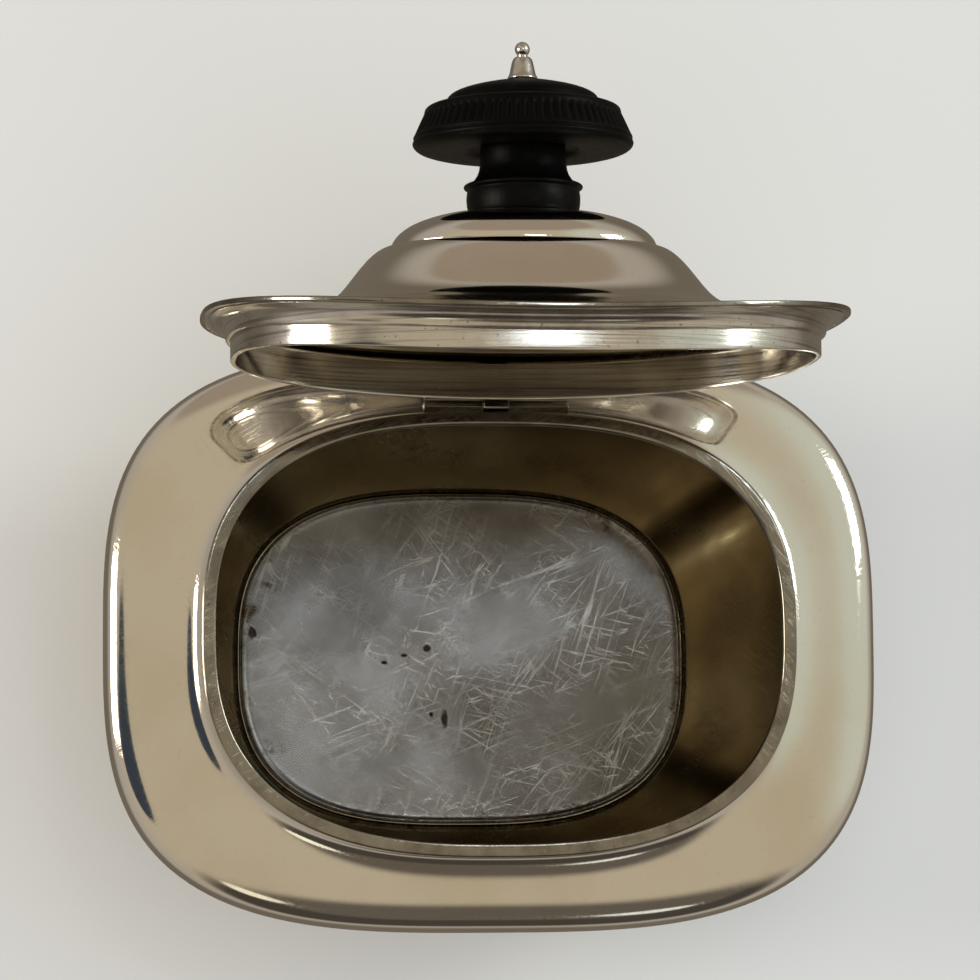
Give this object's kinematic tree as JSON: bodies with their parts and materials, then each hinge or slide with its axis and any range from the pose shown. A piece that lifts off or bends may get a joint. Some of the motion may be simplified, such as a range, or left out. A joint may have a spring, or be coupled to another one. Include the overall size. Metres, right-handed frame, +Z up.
{
  "type": "lidded sugar bowl",
  "caption": "Cushion-shaped silver sugar bowl with a rear-hinged stepped lid, standing open, and a fluted black wooden knob held by a ball-headed pin.",
  "frame": {"origin": "centre of the base, on the surface that the bowl stands on", "axes": "+Z up, +X along the bowl, +Y towards the hinge at the back"},
  "size_m": [0.1402, 0.1519, 0.1423],
  "materials": {
    "silver": "polished silver with warm tarnish",
    "worn_silver": "scratched, dulled silver",
    "steel_pin": "bright drawn wire",
    "ebonised_wood": "black stained wood, satin"
  },
  "bodies": {
    "bowl": {"bowl_body": "silver", "base_plate": "worn_silver", "base_wire": "silver", "mouth_wire": "silver", "hinge_leaf_body": "silver", "hinge_barrel_left": "silver", "hinge_barrel_right": "silver", "hinge_pin": "steel_pin"},
    "lid": {"lid_cover": "silver", "lid_crown": "silver", "lid_edge_wire": "silver", "lid_cavetto": "silver", "lid_bezel": "silver", "hinge_leaf_lid": "silver", "hinge_barrel_lid": "silver", "knob_stem": "ebonised_wood", "knob_cap": "ebonised_wood", "finial_ferrule": "silver", "finial_pin": "silver", "knob_washer": "silver", "knob_nut": "silver"}
  },
  "joints": [
    {"name": "lid_hinge", "type": "hinge", "parent": "bowl", "child": "lid", "pos_m": [0, 0.041, 0.0593], "axis": [1, 0, 0], "range_deg": [0, 89]}
  ]
}
